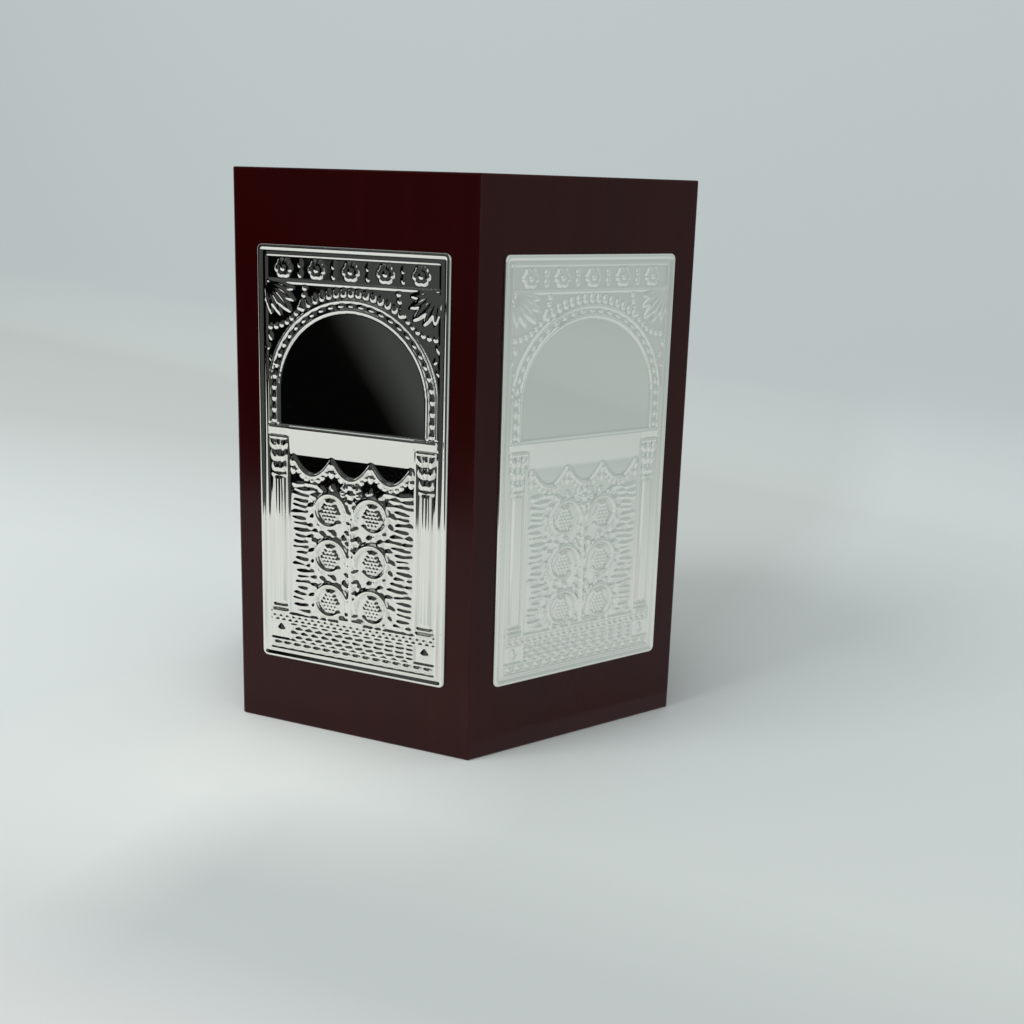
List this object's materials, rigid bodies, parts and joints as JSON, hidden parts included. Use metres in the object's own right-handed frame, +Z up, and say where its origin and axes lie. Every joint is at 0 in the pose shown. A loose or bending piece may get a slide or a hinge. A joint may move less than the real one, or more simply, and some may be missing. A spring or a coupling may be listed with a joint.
{
  "type": "tzedakah box",
  "caption": "Hexagonal lacquered wooden charity box with embossed silver-plated plaques, a coin slot in the top and a hinged coin hatch in the base.",
  "frame": {"origin": "centre of the footprint, on the surface that the box stands on", "axes": "+Z up, one side faces -Y (the front), upright corners lie on +X and -X, and the hatch is hinged at its +Y end"},
  "size_m": [0.1258, 0.1122, 0.134],
  "materials": {
    "lacquered_wood": "satin-gloss dark mahogany red lacquer",
    "silver_plate": "polished silver plating over embossed relief",
    "nickelled_steel": "nickel-plated, satin",
    "magnet": "nickel-plated",
    "strike_steel": "zinc-plated, satin"
  },
  "bodies": {
    "case": {"side_panel_1": "lacquered_wood", "side_panel_2": "lacquered_wood", "side_panel_3": "lacquered_wood", "side_panel_4": "lacquered_wood", "side_panel_5": "lacquered_wood", "side_panel_6": "lacquered_wood", "plaque_1": "silver_plate", "plaque_2": "silver_plate", "plaque_3": "silver_plate", "plaque_4": "silver_plate", "plaque_5": "silver_plate", "plaque_6": "silver_plate", "top_panel": "lacquered_wood", "base_panel": "lacquered_wood", "hinge_leaf_fixed": "nickelled_steel", "hinge_pin": "nickelled_steel", "hinge_screw_fixed_1": "nickelled_steel", "hinge_screw_fixed_2": "nickelled_steel", "catch_magnet_1": "magnet", "catch_magnet_2": "magnet"},
    "hatch": {"hatch_panel": "lacquered_wood", "hinge_leaf_moving": "nickelled_steel", "hinge_screw_moving_1": "nickelled_steel", "hinge_screw_moving_2": "nickelled_steel", "strike_plate_1": "strike_steel", "strike_plate_2": "strike_steel", "strike_screw_1": "nickelled_steel", "strike_screw_2": "nickelled_steel"}
  },
  "joints": [
    {"name": "hatch_hinge", "type": "hinge", "parent": "case", "child": "hatch", "pos_m": [0, 0.0284, 0.0023], "axis": [1, 0, 0], "range_deg": [0, 170]}
  ]
}
